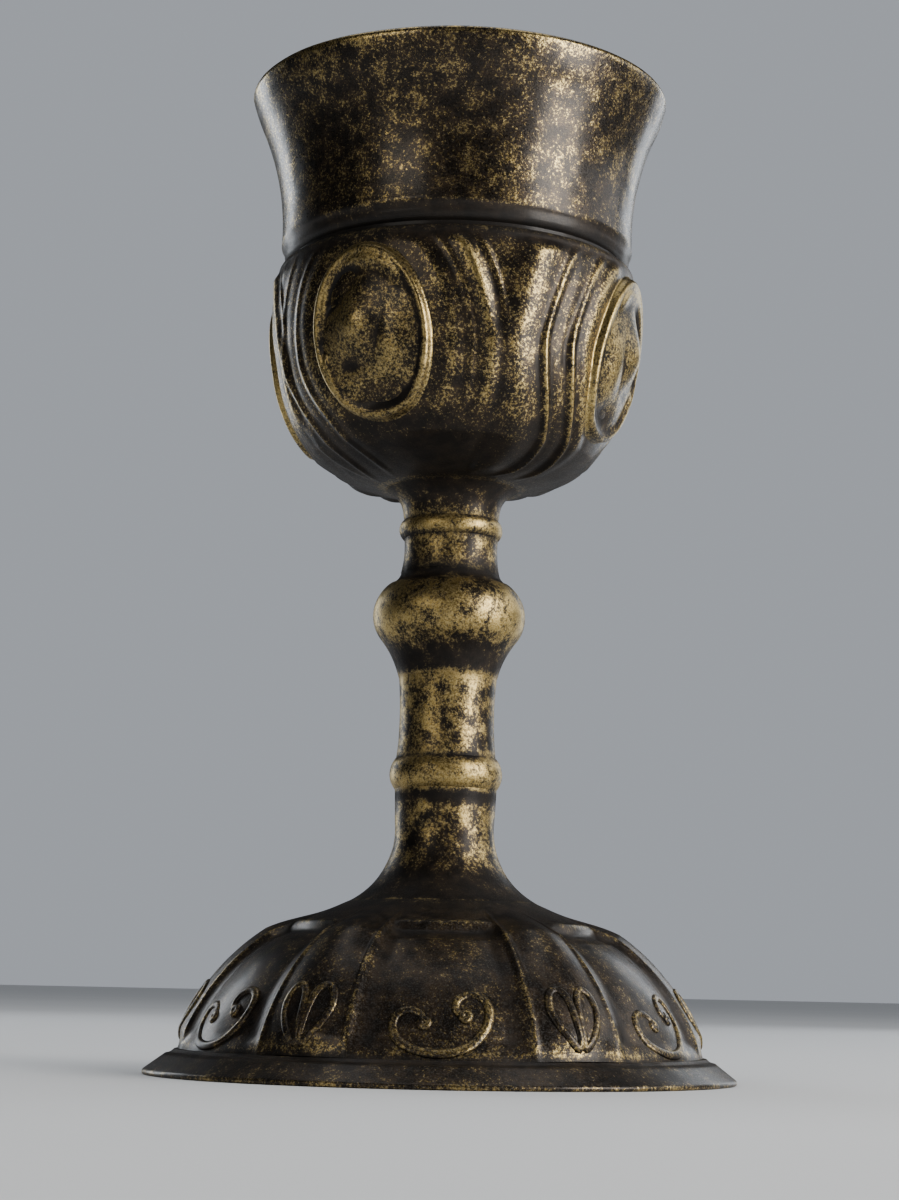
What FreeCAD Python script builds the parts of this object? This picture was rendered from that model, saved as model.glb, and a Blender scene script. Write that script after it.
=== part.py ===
"""A small lidless ciborium cup of dark, gold-rubbed bronze, held together by one rod through its stem.

Every turned piece is a sketch revolved about Z. The foot stands on z = 0, and -Y is the front.
Sizes are millimetres and live in the document's sheet, Sizes.
"""

import FreeCAD, Part
import math
import os
import re

import Sketcher

WHOLE_TURN = 360.0
LOBES = 6
# The plaques stand in two pairs, a little closer together at the sides than at the front and back.
PLAQUE_TURNS = (-28.0, 70.0, 152.0, 250.0)
DRAWN_SECTOR = 70.0

SIZES = {
    # the bowl, a bell-mouthed cup raised from sheet
    "overall_height": 80.0,
    "bowl_wall": 0.8,
    "lip_radius": 17.15,
    "lip_curl": 15.0,
    "flare_top_radius": 16.2,
    "flare_top_height": 77.0,
    "flare_curve": 23.3,
    "waist_radius": 14.45,
    "waist_height": 67.0,
    "seat_radius": 13.8,
    "seat_top": 65.9,
    "seat_bottom": 63.6,
    "bowl_gap": 0.15,
    "bowl_side_curve": 26.0,
    "bowl_shoulder_radius": 13.35,
    "bowl_shoulder_height": 56.7,
    "bowl_belly_curve": 11.9,
    "bowl_belly_radius": 10.3,
    "bowl_belly_height": 50.7,
    "bowl_floor_curve": 9.6,
    "bowl_floor_radius": 3.4,
    "bowl_floor_height": 49.1,
    "bowl_inner_belly_radius": 9.7,
    "bowl_inner_belly_height": 51.3,
    # the calyx, a cast false cup round the lower half of the bowl
    "calyx_wall": 0.85,
    "calyx_rim_radius": 14.6,
    "calyx_rim_height": 65.1,
    "calyx_side_curve": 23.6,
    "calyx_shoulder_radius": 14.35,
    "calyx_shoulder_height": 56.5,
    "calyx_belly_curve": 14.0,
    "calyx_belly_radius": 11.3,
    "calyx_belly_height": 49.5,
    "calyx_floor_curve": 12.9,
    "calyx_floor_radius": 5.5,
    "calyx_base": 47.0,
    "calyx_floor_thickness": 0.85,
    "calyx_inner_floor_radius": 5.2,
    "calyx_inner_belly_radius": 10.66,
    "calyx_inner_belly_height": 50.06,
    "calyx_inner_shoulder_radius": 13.53,
    "calyx_inner_shoulder_height": 56.7,
    # the oval scroll plaques on the calyx
    "plaque_width": 10.6,
    "plaque_tall": 14.4,
    "plaque_centre": 56.8,
    "plaque_field": 0.35,
    "plaque_rim": 0.8,
    "plaque_rim_width": 1.1,
    "plaque_boss_width": 4.2,
    "plaque_boss_tall": 6.6,
    # the boss brazed under the bowl, which takes the rod
    "boss_spigot_radius": 2.95,
    "boss_flange_radius": 3.4,
    "spigot_base": 46.1,
    "thread_radius": 1.5,
    "thread_top": 48.6,
    # the stem
    "rod_clearance": 1.7,
    "spigot_socket_radius": 3.0,
    "spigot_socket_floor": 46.0,
    "collar_top_radius": 5.4,
    "collar_curve": 2.3,
    "collar_base_radius": 3.9,
    "collar_neck_height": 45.0,
    "neck_ring_top": 44.4,
    "neck_ring_edge": 3.85,
    "neck_ring_curve": 1.02,
    "sleeve_top": 42.9,
    "sleeve_radius": 3.8,
    "sleeve_curve": 9.0,
    "knop_top": 40.1,
    "knop_top_radius": 3.95,
    "knop_shoulder_curve": 1.3,
    "knop_shoulder_radius": 4.85,
    "knop_shoulder_height": 39.1,
    "knop_curve": 3.09,
    "knop_under_radius": 5.4,
    "knop_under_height": 34.6,
    "knop_tail_curve": 8.2,
    "shaft_top": 31.6,
    "shaft_top_radius": 3.95,
    "shaft_curve": 26.0,
    "shaft_base_radius": 4.0,
    "lower_ring_top": 25.1,
    "lower_ring_curve": 1.92,
    "trumpet_top": 22.6,
    "trumpet_top_radius": 4.05,
    "trumpet_waist_radius": 3.95,
    "trumpet_waist_height": 20.0,
    "trumpet_curve": 6.6,
    "trumpet_base_radius": 7.5,
    "trumpet_edge_height": 13.65,
    "crown_height": 13.0,
    # the six-lobed foot
    "dome_shoulder_radius": 13.7,
    "dome_shoulder_height": 10.9,
    "dome_curve": 17.3,
    "dome_base_radius": 20.4,
    "dome_wall": 1.1,
    "dome_inner_shoulder_radius": 13.15,
    "dome_inner_shoulder_height": 9.93,
    "flange_height": 1.95,
    "flange_radius": 23.2,
    "flange_edge": 0.35,
    "flange_bend_radius": 21.5,
    "flange_bend_height": 1.65,
    "flange_step_radius": 20.8,
    "flange_inner_radius": 18.5,
    "panel_depth": 0.5,
    "panel_angle": 36.0,
    "panel_top_radius": 12.2,
    "panel_top_height": 11.0,
    "panel_shoulder_radius": 13.45,
    "panel_shoulder_height": 10.45,
    "panel_base_height": 2.35,
    "panel_clearance": 3.0,
    # ornaments on the foot
    "scroll_centre": 5.1,
    "scroll_radius": 3.1,
    "scroll_width": 0.8,
    "scroll_eye_radius": 1.05,
    "scroll_eye_inset": 1.15,
    "scroll_eye_rise": 0.3,
    "scroll_relief": 0.6,
    "leaf_centre": 5.0,
    "leaf_tall": 5.0,
    "leaf_wide": 2.5,
    "leaf_line": 0.6,
    "leaf_lean": 12.0,
    "leaf_offset": 1.15,
    "leaf_relief": 0.45,
    # the fastening
    "rod_top": 48.5,
    "rod_base": 8.2,
    "rod_chamfer": 0.35,
    "washer_radius": 4.0,
    "washer_thickness": 0.6,
    "nut_across_flats": 5.5,
    "nut_height": 2.4,
}

# A corner is (radius, height). A third and fourth entry make the edge that arrives there an arc of that
# radius: it bulges when its centre is nearer the axis than the arc, and is hollow when it is further out.
BULGE = -1
HOLLOW = 1

BOWL = [
    ("lip_radius - bowl_wall", "overall_height - bowl_wall / 2"),
    ("lip_radius - bowl_wall / 2", "overall_height", "bowl_wall / 2", HOLLOW),
    ("lip_radius", "overall_height - bowl_wall / 2", "bowl_wall / 2", BULGE),
    ("flare_top_radius", "flare_top_height", "lip_curl", BULGE),
    ("waist_radius", "waist_height", "flare_curve", HOLLOW),
    ("seat_radius", "seat_top"),
    ("seat_radius", "seat_bottom"),
    ("seat_radius - bowl_gap", "seat_bottom"),
    ("bowl_shoulder_radius", "bowl_shoulder_height", "bowl_side_curve", BULGE),
    ("bowl_belly_radius", "bowl_belly_height", "bowl_belly_curve", BULGE),
    ("bowl_floor_radius", "bowl_floor_height", "bowl_floor_curve", BULGE),
    ("0", "bowl_floor_height"),
    ("0", "bowl_floor_height + bowl_wall"),
    ("bowl_floor_radius", "bowl_floor_height + bowl_wall"),
    ("bowl_inner_belly_radius", "bowl_inner_belly_height", "bowl_floor_curve - bowl_wall", BULGE),
    ("bowl_shoulder_radius - bowl_wall", "bowl_shoulder_height", "bowl_belly_curve - bowl_wall", BULGE),
    ("seat_radius - bowl_gap - bowl_wall", "seat_bottom", "bowl_side_curve - bowl_wall", BULGE),
    ("waist_radius - bowl_wall", "waist_height"),
    ("flare_top_radius - bowl_wall", "flare_top_height", "flare_curve + bowl_wall", HOLLOW),
    ("lip_radius - bowl_wall", "overall_height - bowl_wall / 2", "lip_curl - bowl_wall", BULGE),
]

CALYX_OUTSIDE = [
    ("calyx_rim_radius", "calyx_rim_height"),
    ("calyx_shoulder_radius", "calyx_shoulder_height", "calyx_side_curve", BULGE),
    ("calyx_belly_radius", "calyx_belly_height", "calyx_belly_curve", BULGE),
    ("calyx_floor_radius", "calyx_base", "calyx_floor_curve", BULGE),
]

CALYX = CALYX_OUTSIDE + [
    ("spigot_socket_radius", "calyx_base"),
    ("spigot_socket_radius", "calyx_base + calyx_floor_thickness"),
    ("calyx_inner_floor_radius", "calyx_base + calyx_floor_thickness"),
    ("calyx_inner_belly_radius", "calyx_inner_belly_height", "calyx_floor_curve - calyx_wall", BULGE),
    ("calyx_inner_shoulder_radius", "calyx_inner_shoulder_height", "calyx_belly_curve - calyx_wall", BULGE),
    ("seat_radius", "seat_bottom", "calyx_side_curve - calyx_wall", BULGE),
    ("seat_radius", "calyx_rim_height"),
    ("calyx_rim_radius", "calyx_rim_height"),
]

BOSS = [
    ("thread_radius", "spigot_base"),
    ("boss_spigot_radius", "spigot_base"),
    ("boss_spigot_radius", "calyx_base + calyx_floor_thickness"),
    ("boss_flange_radius", "calyx_base + calyx_floor_thickness"),
    ("boss_flange_radius", "bowl_floor_height"),
    ("0", "bowl_floor_height"),
    ("0", "thread_top"),
    ("thread_radius", "thread_top"),
    ("thread_radius", "spigot_base"),
]

COLLAR = [
    ("spigot_socket_radius", "calyx_base"),
    ("collar_top_radius", "calyx_base"),
    ("collar_base_radius", "collar_neck_height", "collar_curve", HOLLOW),
    ("collar_base_radius", "neck_ring_top"),
    ("rod_clearance", "neck_ring_top"),
    ("rod_clearance", "spigot_socket_floor"),
    ("spigot_socket_radius", "spigot_socket_floor"),
    ("spigot_socket_radius", "calyx_base"),
]

NECK_RING = [
    ("rod_clearance", "neck_ring_top"),
    ("neck_ring_edge", "neck_ring_top"),
    ("neck_ring_edge", "sleeve_top", "neck_ring_curve", BULGE),
    ("rod_clearance", "sleeve_top"),
    ("rod_clearance", "neck_ring_top"),
]

NECK_SLEEVE = [
    ("rod_clearance", "sleeve_top"),
    ("sleeve_radius", "sleeve_top"),
    ("knop_top_radius", "knop_top", "sleeve_curve", HOLLOW),
    ("rod_clearance", "knop_top"),
    ("rod_clearance", "sleeve_top"),
]

KNOP = [
    ("rod_clearance", "knop_top"),
    ("knop_top_radius", "knop_top"),
    ("knop_shoulder_radius", "knop_shoulder_height", "knop_shoulder_curve", HOLLOW),
    ("knop_under_radius", "knop_under_height", "knop_curve", BULGE),
    ("shaft_top_radius", "shaft_top", "knop_tail_curve", HOLLOW),
    ("rod_clearance", "shaft_top"),
    ("rod_clearance", "knop_top"),
]

SHAFT = [
    ("rod_clearance", "shaft_top"),
    ("shaft_top_radius", "shaft_top"),
    ("shaft_base_radius", "lower_ring_top", "shaft_curve", HOLLOW),
    ("rod_clearance", "lower_ring_top"),
    ("rod_clearance", "shaft_top"),
]

LOWER_RING = [
    ("rod_clearance", "lower_ring_top"),
    ("shaft_base_radius", "lower_ring_top"),
    ("trumpet_top_radius", "trumpet_top", "lower_ring_curve", BULGE),
    ("rod_clearance", "trumpet_top"),
    ("rod_clearance", "lower_ring_top"),
]

TRUMPET = [
    ("rod_clearance", "trumpet_top"),
    ("trumpet_top_radius", "trumpet_top"),
    ("trumpet_waist_radius", "trumpet_waist_height"),
    ("trumpet_base_radius", "trumpet_edge_height", "trumpet_curve", HOLLOW),
    ("trumpet_base_radius", "crown_height"),
    ("rod_clearance", "crown_height"),
    ("rod_clearance", "trumpet_top"),
]

DOME_OUTSIDE = [
    ("trumpet_base_radius", "trumpet_edge_height"),
    ("dome_shoulder_radius", "dome_shoulder_height"),
    ("dome_base_radius", "flange_height", "dome_curve", BULGE),
]

DOME = [("rod_clearance", "crown_height"), ("trumpet_base_radius", "crown_height")] + DOME_OUTSIDE + [
    ("dome_base_radius - dome_wall", "flange_height"),
    ("dome_inner_shoulder_radius", "dome_inner_shoulder_height", "dome_curve - dome_wall", BULGE),
    ("trumpet_base_radius", "crown_height - dome_wall"),
    ("rod_clearance", "crown_height - dome_wall"),
    ("rod_clearance", "crown_height"),
]

FLANGE = [
    ("flange_inner_radius", "0"),
    ("flange_radius", "0"),
    ("flange_radius", "flange_edge"),
    ("flange_bend_radius", "flange_bend_height"),
    ("flange_step_radius", "flange_height"),
    ("flange_inner_radius", "flange_height"),
    ("flange_inner_radius", "0"),
]

WASHER = [
    ("rod_clearance", "crown_height - dome_wall"),
    ("washer_radius", "crown_height - dome_wall"),
    ("washer_radius", "crown_height - dome_wall - washer_thickness"),
    ("rod_clearance", "crown_height - dome_wall - washer_thickness"),
    ("rod_clearance", "crown_height - dome_wall"),
]

TURNED_PIECES = {
    "cup_bowl": BOWL,
    "cup_boss": BOSS,
    "calyx_shell": CALYX,
    "upper_collar": COLLAR,
    "neck_ring": NECK_RING,
    "neck_sleeve": NECK_SLEEVE,
    "knop": KNOP,
    "stem_shaft": SHAFT,
    "lower_ring": LOWER_RING,
    "foot_trumpet": TRUMPET,
    "foot_dome": DOME,
    "foot_flange": FLANGE,
    "clamp_washer": WASHER,
}


def make_sheet(document):
    sheet = document.addObject("Spreadsheet::Sheet", "Sizes")
    for row, (name, value) in enumerate(SIZES.items(), start=1):
        sheet.set(f"A{row}", name)
        sheet.set(f"B{row}", str(value))
        sheet.setAlias(f"B{row}", name)
    document.recompute()
    return sheet


def expression(text):
    """The sheet's own form of a size written with bare names."""
    return re.sub(r"[a-z_]+", lambda word: "Sizes." + word.group(), text)


def size(sheet, text):
    """The number that a size written with bare names comes to."""
    return float(sheet.evalExpression(expression(text)))


def arc_centre(start, end, radius, side):
    """The centre of the shorter arc between two points of the half-plane (radius, height)."""
    middle = (start + end) * 0.5
    chord = end - start
    across = FreeCAD.Vector(-chord.y, chord.x, 0).normalize()
    reach = math.sqrt(radius ** 2 - (chord.Length / 2) ** 2)
    centres = sorted((middle + across * reach, middle - across * reach), key=lambda point: point.x)
    return centres[0] if side == BULGE else centres[1]


def outline_curves(sheet, outline):
    """The outline's edges as (curve, index of its start point, index of its end point)."""
    curves = []
    corners = [FreeCAD.Vector(size(sheet, step[0]), size(sheet, step[1]), 0) for step in outline]
    for start, end, step in zip(corners, corners[1:], outline[1:]):
        if len(step) == 2:
            curves.append((Part.LineSegment(start, end), 1, 2))
            continue
        radius = size(sheet, step[2])
        centre = arc_centre(start, end, radius, step[3])
        circle = Part.Circle(centre, FreeCAD.Vector(0, 0, 1), radius)
        first = math.atan2(start.y - centre.y, start.x - centre.x)
        last = math.atan2(end.y - centre.y, end.x - centre.x)
        if (last - first) % (2 * math.pi) < math.pi:
            curves.append((Part.ArcOfCircle(circle, first, last), 1, 2))
        else:
            curves.append((Part.ArcOfCircle(circle, last, first), 2, 1))
    return curves


def origin_plane(body, role):
    return next(feature for feature in body.Origin.OriginFeatures if feature.Role == role)


def new_body(document, name):
    body = document.addObject("PartDesign::Body", name)
    body.Label = name
    return body


def new_sketch(body, name, role):
    sketch = body.newObject("Sketcher::SketchObject", name)
    sketch.AttachmentSupport = [(origin_plane(body, role), "")]
    sketch.MapMode = "FlatFace"
    return sketch


def bind(sketch, constraint, text):
    """Adds a size constraint and ties it to the sheet."""
    index = sketch.addConstraint(constraint)
    sketch.setExpression(f"Constraints[{index}]", expression(text))


def pin_corner(sheet, sketch, edge, point, step):
    """Holds one corner of an outline at its radius and height."""
    for kind, axis_line, text in (("DistanceX", -2, step[0]), ("DistanceY", -1, step[1])):
        value = size(sheet, text)
        if value == 0:
            sketch.addConstraint(Sketcher.Constraint("PointOnObject", edge, point, axis_line))
        else:
            bind(sketch, Sketcher.Constraint(kind, -1, 1, edge, point, value), text)


def draw_outline(sheet, sketch, outline):
    """Draws a closed outline of lines and arcs, every corner and radius tied to the sheet."""
    curves = outline_curves(sheet, outline)
    for curve, _, _ in curves:
        sketch.addGeometry(curve, False)
    count = len(curves)
    for edge, (curve, start, end) in enumerate(curves):
        following = (edge + 1) % count
        sketch.addConstraint(
            Sketcher.Constraint("Coincident", edge, end, following, curves[following][1])
        )
        pin_corner(sheet, sketch, edge, start, outline[edge])
        step = outline[edge + 1]
        if len(step) > 2:
            bind(sketch, Sketcher.Constraint("Radius", edge, size(sheet, step[2])), step[2])


def turn_piece(document, sheet, name, outline):
    """One body of revolution about Z."""
    body = new_body(document, name)
    sketch = new_sketch(body, f"{name}_outline", "XZ_Plane")
    draw_outline(sheet, sketch, outline)
    document.recompute()
    turning = body.newObject("PartDesign::Revolution", f"{name}_turning")
    turning.Profile = sketch
    turning.ReferenceAxis = (sketch, ["V_Axis"])
    turning.Angle = WHOLE_TURN
    sketch.Visibility = False
    document.recompute()
    return body


def cut_lobes(document, sheet, body):
    """Sinks a panel between each two ribs of the foot's dome, by a groove over part of a turn."""
    before = body.Shape.Volume
    sketch = new_sketch(body, "panel_outline", "XZ_Plane")
    panel = [
        ("panel_top_radius", "panel_top_height + panel_clearance"),
        ("panel_top_radius", "panel_top_height"),
        ("panel_shoulder_radius", "panel_shoulder_height"),
        ("dome_base_radius - panel_depth", "panel_base_height", "dome_curve - panel_depth", BULGE),
        ("dome_base_radius + panel_clearance", "panel_base_height"),
        ("dome_base_radius + panel_clearance", "panel_top_height + panel_clearance"),
        ("panel_top_radius", "panel_top_height + panel_clearance"),
    ]
    draw_outline(sheet, sketch, panel)
    document.recompute()
    groove = body.newObject("PartDesign::Groove", "front_panel")
    groove.Profile = sketch
    groove.ReferenceAxis = (sketch, ["V_Axis"])
    groove.Midplane = True
    groove.setExpression("Angle", expression("panel_angle"))
    sketch.Visibility = False
    document.recompute()
    pattern = body.newObject("PartDesign::PolarPattern", "all_panels")
    pattern.Originals = [groove]
    pattern.Axis = (origin_plane(body, "Z_Axis"), [""])
    pattern.Angle = WHOLE_TURN
    pattern.Occurrences = LOBES
    body.Tip = pattern
    document.recompute()
    if body.Shape.Volume >= before:
        raise RuntimeError("the foot's panels cut nothing")


def make_rod(document, sheet):
    """The threaded rod that pulls the cup down on the stem and the stem down on the foot."""
    body = new_body(document, "tie_rod")
    sketch = new_sketch(body, "rod_section", "XY_Plane")
    sketch.setExpression(".AttachmentOffset.Base.z", expression("rod_base"))
    circle = Part.Circle(FreeCAD.Vector(), FreeCAD.Vector(0, 0, 1), size(sheet, "thread_radius"))
    sketch.addGeometry(circle, False)
    sketch.addConstraint(Sketcher.Constraint("Coincident", 0, 3, -1, 1))
    bind(sketch, Sketcher.Constraint("Radius", 0, size(sheet, "thread_radius")), "thread_radius")
    document.recompute()
    pad = body.newObject("PartDesign::Pad", "rod_length")
    pad.Profile = sketch
    pad.setExpression("Length", expression("rod_top - rod_base"))
    sketch.Visibility = False
    document.recompute()
    ends = [f"Edge{i}" for i, edge in enumerate(pad.Shape.Edges, start=1) if edge.isClosed()]
    chamfer = body.newObject("PartDesign::Chamfer", "rod_ends")
    chamfer.Base = (pad, ends)
    chamfer.setExpression("Size", expression("rod_chamfer"))
    document.recompute()
    return body


def make_nut(document, sheet):
    """The hexagon nut under the foot's crown, with its threaded hole."""
    body = new_body(document, "clamp_nut")
    sketch = new_sketch(body, "nut_section", "XY_Plane")
    nut_top = "crown_height - dome_wall - washer_thickness"
    sketch.setExpression(".AttachmentOffset.Base.z", expression(nut_top))
    corner_radius = size(sheet, "nut_across_flats / 3 ^ 0.5")
    corners = [
        FreeCAD.Rotation(FreeCAD.Vector(0, 0, 1), 60 * i).multVec(FreeCAD.Vector(corner_radius, 0, 0))
        for i in range(6)
    ]
    for i in range(6):
        sketch.addGeometry(Part.LineSegment(corners[i], corners[(i + 1) % 6]), False)
    guide = sketch.addGeometry(
        Part.Circle(FreeCAD.Vector(), FreeCAD.Vector(0, 0, 1), corner_radius), True
    )
    sketch.addConstraint(Sketcher.Constraint("Coincident", guide, 3, -1, 1))
    for i in range(6):
        sketch.addConstraint(Sketcher.Constraint("Coincident", i, 2, (i + 1) % 6, 1))
        sketch.addConstraint(Sketcher.Constraint("PointOnObject", i, 1, guide))
    for i in range(1, 6):
        sketch.addConstraint(Sketcher.Constraint("Equal", 0, i))
    sketch.addConstraint(Sketcher.Constraint("PointOnObject", 0, 1, -1))
    bind(sketch, Sketcher.Constraint("Radius", guide, corner_radius), "nut_across_flats / 3 ^ 0.5")
    bore = sketch.addGeometry(
        Part.Circle(FreeCAD.Vector(), FreeCAD.Vector(0, 0, 1), size(sheet, "thread_radius")), False
    )
    sketch.addConstraint(Sketcher.Constraint("Coincident", bore, 3, -1, 1))
    bind(sketch, Sketcher.Constraint("Radius", bore, size(sheet, "thread_radius")), "thread_radius")
    document.recompute()
    pad = body.newObject("PartDesign::Pad", "nut_thickness")
    pad.Profile = sketch
    pad.Reversed = True
    pad.setExpression("Length", expression("nut_height"))
    sketch.Visibility = False
    document.recompute()
    return body


def stand(curve):
    """A curve drawn in (radius, height) as an edge standing in the XZ plane."""
    edge = curve.toShape()
    edge.rotate(FreeCAD.Vector(), FreeCAD.Vector(1, 0, 0), 90)
    return edge


def relief_band(sheet, outline, low, high):
    """The skin between two offsets of a turned outline, over a sector that faces the front."""
    wire = Part.Wire([stand(curve) for curve, _, _ in outline_curves(sheet, outline)])
    if low:
        wire = Part.Wire(wire.makeOffset2D(low, 0, False, True, False).Edges)
    skin = wire.makeOffset2D(high - low, 0, True, True, False)
    front = FreeCAD.Vector(0, 0, 1)
    skin.rotate(FreeCAD.Vector(), front, -90 - DRAWN_SECTOR / 2)
    return skin.revolve(FreeCAD.Vector(), front, DRAWN_SECTOR)


def oval(wide, tall, across=0.0, up=0.0, lean=0.0):
    """An upright oval face in the XZ plane."""
    if tall >= wide:
        ring = Part.Ellipse(FreeCAD.Vector(), tall / 2, wide / 2).toShape()
        ring.rotate(FreeCAD.Vector(), FreeCAD.Vector(0, 0, 1), 90 + lean)
    else:
        ring = Part.Ellipse(FreeCAD.Vector(), wide / 2, tall / 2).toShape()
        ring.rotate(FreeCAD.Vector(), FreeCAD.Vector(0, 0, 1), lean)
    ring.rotate(FreeCAD.Vector(), FreeCAD.Vector(1, 0, 0), 90)
    ring.translate(FreeCAD.Vector(across, 0, up))
    return Part.Face(Part.Wire(ring))


def ornament(flat, band):
    """The part of a band behind a flat shape, looking from the front."""
    reach = FreeCAD.Vector(0, -2 * band.BoundBox.YLength, 0)
    return fused([face.extrude(reach).common(band) for face in flat.Faces])


def fused(shapes):
    whole = shapes[0]
    for shape in shapes[1:]:
        whole = whole.fuse(shape)
    return whole.removeSplitter()


def plaque_shape(sheet):
    """An oval plaque: a thin field, a raised rim and a raised boss at its middle."""
    wide = size(sheet, "plaque_width")
    tall = size(sheet, "plaque_tall")
    up = size(sheet, "plaque_centre")
    rim = 2 * size(sheet, "plaque_rim_width")
    field_band = relief_band(sheet, CALYX_OUTSIDE, 0, size(sheet, "plaque_field"))
    rim_band = relief_band(sheet, CALYX_OUTSIDE, 0, size(sheet, "plaque_rim"))
    whole = oval(wide, tall, up=up)
    middle = oval(wide - rim, tall - rim, up=up)
    boss = oval(size(sheet, "plaque_boss_width"), size(sheet, "plaque_boss_tall"), up=up)
    return fused([
        ornament(whole.cut(middle), rim_band),
        ornament(whole, field_band),
        ornament(boss, rim_band),
    ])


def scroll_shape(sheet):
    """A rising scroll: half a ring whose two ends curl in to round eyes."""
    up = size(sheet, "scroll_centre")
    radius = size(sheet, "scroll_radius")
    width = size(sheet, "scroll_width")
    eye = 2 * size(sheet, "scroll_eye_radius")
    eye_across = radius - size(sheet, "scroll_eye_inset")
    eye_up = up + size(sheet, "scroll_eye_rise")
    low = -size(sheet, "panel_depth")
    band = relief_band(sheet, DOME_OUTSIDE, low, low + size(sheet, "scroll_relief"))
    ring = oval(2 * radius, 2 * radius, up=up).cut(oval(2 * (radius - width), 2 * (radius - width), up=up))
    upper_half = Part.makeBox(4 * radius, 2, 2 * radius, FreeCAD.Vector(-2 * radius, -1, up))
    eyes = [oval(eye, eye, side * eye_across, eye_up) for side in (-1, 1)]
    return ornament(fused([ring.cut(upper_half)] + eyes), band)


def leaf_shape(sheet):
    """Two open loops that lean apart, at the base of a rib."""
    tall = size(sheet, "leaf_tall")
    wide = size(sheet, "leaf_wide")
    line = 2 * size(sheet, "leaf_line")
    up = size(sheet, "leaf_centre")
    band = relief_band(sheet, DOME_OUTSIDE, 0, size(sheet, "leaf_relief"))
    loops = []
    for side in (-1, 1):
        across = side * size(sheet, "leaf_offset")
        lean = -side * size(sheet, "leaf_lean")
        outer = oval(wide, tall, across, up, lean)
        loops.append(outer.cut(oval(wide - line, tall - line, across, up, lean)))
    return ornament(fused(loops), band)


def place_ornaments(document, prefix, shape, turns):
    """Copies of one ornament turned round the axis, each a piece of its own."""
    pieces = []
    for number, turn in enumerate(turns, start=1):
        piece = document.addObject("Part::Feature", f"{prefix}_{number}")
        piece.Label = f"{prefix}_{number}"
        piece.Shape = shape
        rotation = FreeCAD.Rotation(FreeCAD.Vector(0, 0, 1), turn)
        piece.Placement = FreeCAD.Placement(FreeCAD.Vector(), rotation)
        pieces.append(piece)
    document.recompute()
    return pieces


def check_document(document, pieces):
    for thing in document.Objects:
        if "Invalid" in thing.State or "Error" in thing.State:
            raise RuntimeError(f"{thing.Name} failed: {thing.State}")
    for piece in pieces:
        shape = piece.Shape
        if shape.isNull() or not shape.isValid() or not shape.Solids:
            raise RuntimeError(f"{piece.Label} has no valid solid")


def main():
    document = FreeCAD.newDocument("CiboriumVessel")
    sheet = make_sheet(document)
    pieces = [
        turn_piece(document, sheet, name, outline) for name, outline in TURNED_PIECES.items()
    ]
    dome = next(piece for piece in pieces if piece.Label == "foot_dome")
    cut_lobes(document, sheet, dome)
    pieces.append(make_rod(document, sheet))
    pieces.append(make_nut(document, sheet))
    panel_turns = [i * WHOLE_TURN / LOBES for i in range(LOBES)]
    rib_turns = [(i + 0.5) * WHOLE_TURN / LOBES for i in range(LOBES)]
    pieces += place_ornaments(document, "volute_plaque", plaque_shape(sheet), PLAQUE_TURNS)
    pieces += place_ornaments(document, "foot_scroll", scroll_shape(sheet), panel_turns)
    pieces += place_ornaments(document, "foot_leaf", leaf_shape(sheet), rib_turns)
    check_document(document, pieces)
    os.makedirs("parts", exist_ok=True)
    for piece in pieces:
        piece.Shape.exportStep(f"parts/{piece.Label}.step")
        box = piece.Shape.BoundBox
        print(
            f"{piece.Label}: {len(piece.Shape.Solids)} solid, {piece.Shape.Volume:.1f} mm3, "
            f"z {box.ZMin:.2f} to {box.ZMax:.2f}, reach {box.XMax:.2f}"
        )


main()
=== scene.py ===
"""The looks of a small lidless ciborium cup of dark, gold-rubbed bronze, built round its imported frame.

Outlines are written in millimetres, as (radius, height), and the meshes are made in metres.
Azimuth 0 faces the front, -Y, and grows towards +X.
"""

import math

import bmesh
import bpy
import numpy as np
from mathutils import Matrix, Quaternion, Vector, noise


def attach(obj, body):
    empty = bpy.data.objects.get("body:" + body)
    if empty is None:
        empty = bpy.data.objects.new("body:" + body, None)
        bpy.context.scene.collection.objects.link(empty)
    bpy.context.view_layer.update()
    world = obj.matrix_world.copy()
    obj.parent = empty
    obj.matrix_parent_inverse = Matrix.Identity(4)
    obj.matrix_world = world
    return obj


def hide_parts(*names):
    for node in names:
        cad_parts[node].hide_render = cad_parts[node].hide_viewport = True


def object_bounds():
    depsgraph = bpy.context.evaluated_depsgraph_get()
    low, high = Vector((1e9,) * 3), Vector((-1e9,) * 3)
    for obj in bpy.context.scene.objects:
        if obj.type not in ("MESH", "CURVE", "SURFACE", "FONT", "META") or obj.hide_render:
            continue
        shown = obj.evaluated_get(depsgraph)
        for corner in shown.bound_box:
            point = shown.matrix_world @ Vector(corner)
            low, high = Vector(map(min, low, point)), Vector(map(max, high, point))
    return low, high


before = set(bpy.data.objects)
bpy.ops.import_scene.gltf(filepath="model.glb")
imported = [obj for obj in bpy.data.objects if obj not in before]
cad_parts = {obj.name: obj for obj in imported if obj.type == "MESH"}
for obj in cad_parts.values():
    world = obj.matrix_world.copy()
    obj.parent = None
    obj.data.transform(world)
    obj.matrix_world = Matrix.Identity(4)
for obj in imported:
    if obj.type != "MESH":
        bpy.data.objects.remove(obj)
cad_low, cad_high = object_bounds()

MM = 0.001
WELD = 1e-7
# The side to which an arc of an outline curves.
BULGE = -1
HOLLOW = 1
# How wide the surroundings are that a point's relief is measured against, and the grain of hand work.
RELIEF_REACH = 1.3
PLAQUE_RELIEF_REACH = 2.0
RIPPLE_SIZE = 5.0

LOBES = 6
LOBE_TURN = 360.0 / LOBES
HALF_LOBE = LOBE_TURN / 2

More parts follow.
